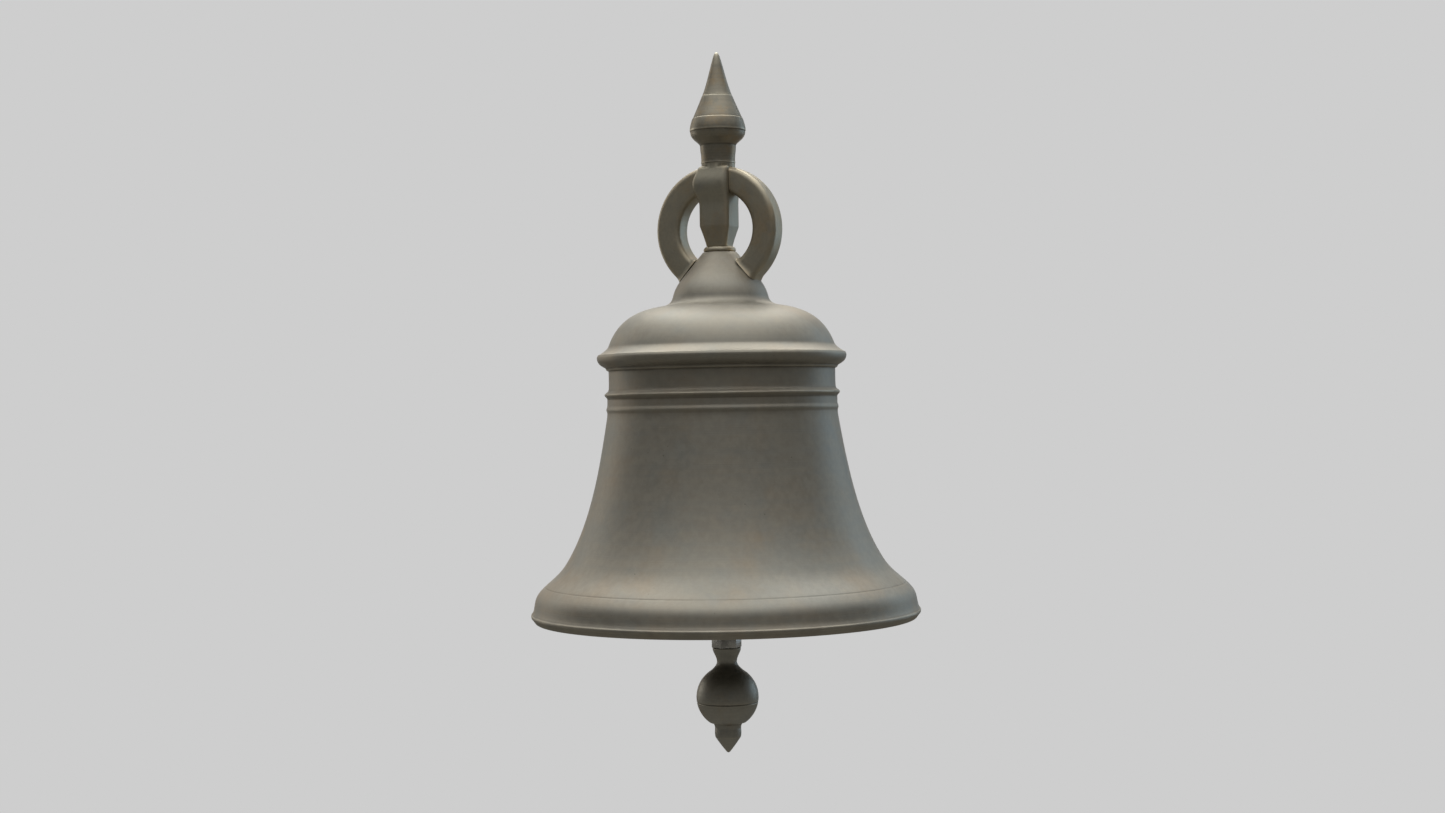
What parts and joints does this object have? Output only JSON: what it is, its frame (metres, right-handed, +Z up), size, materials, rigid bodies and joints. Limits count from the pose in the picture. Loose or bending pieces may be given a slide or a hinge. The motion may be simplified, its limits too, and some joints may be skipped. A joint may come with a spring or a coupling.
{
  "type": "church bell",
  "caption": "Hanging church bell with a moulded waist and rim, a crown post between two round hanging loops, a pointed finial, and a clapper with a ball and a pointed tip.",
  "frame": {"origin": "centre of the canon ring, on the bell's axis, which is where the two hanging loops carry the bell", "axes": "+Z up along the bell's axis, towards the finial; X through the two loops; -Y is the front; the clapper swings about an axis along X"},
  "size_m": [0.4, 0.4, 0.7215],
  "materials": {
    "bell_bronze": "aged bronze, satin, grey-olive patina",
    "crown_bronze": "aged bronze, darker and browner, satin",
    "forged_iron": "blackened forged iron",
    "bright_steel": "plain steel, lightly brushed",
    "bush_brass": "bare brass",
    "oiled_leather": "oiled brown leather"
  },
  "bodies": {
    "bell": {"bell_casting": "bell_bronze", "neck_collar": "crown_bronze", "crown_post": "crown_bronze", "canon_left": "crown_bronze", "canon_right": "crown_bronze", "canon_pin_left": "forged_iron", "canon_pin_right": "forged_iron", "finial_base": "crown_bronze", "finial_spike": "crown_bronze", "crown_staple": "forged_iron", "staple_gasket": "oiled_leather", "staple_washer": "bright_steel", "staple_nut": "bright_steel", "pivot_pin": "bright_steel", "pivot_washer": "bright_steel", "cotter_pin": "bright_steel"},
    "clapper": {"clapper_bush": "bush_brass", "side_washer_left": "oiled_leather", "side_washer_right": "oiled_leather", "clapper_shank": "forged_iron", "clapper_lock_nut": "bright_steel", "clapper_ball": "crown_bronze", "clapper_tip": "crown_bronze"}
  },
  "joints": [
    {"name": "clapper_swing", "type": "hinge", "parent": "bell", "child": "clapper", "pos_m": [0, 0, -0.141], "axis": [1, 0, 0], "range_deg": [-31, 31]}
  ]
}
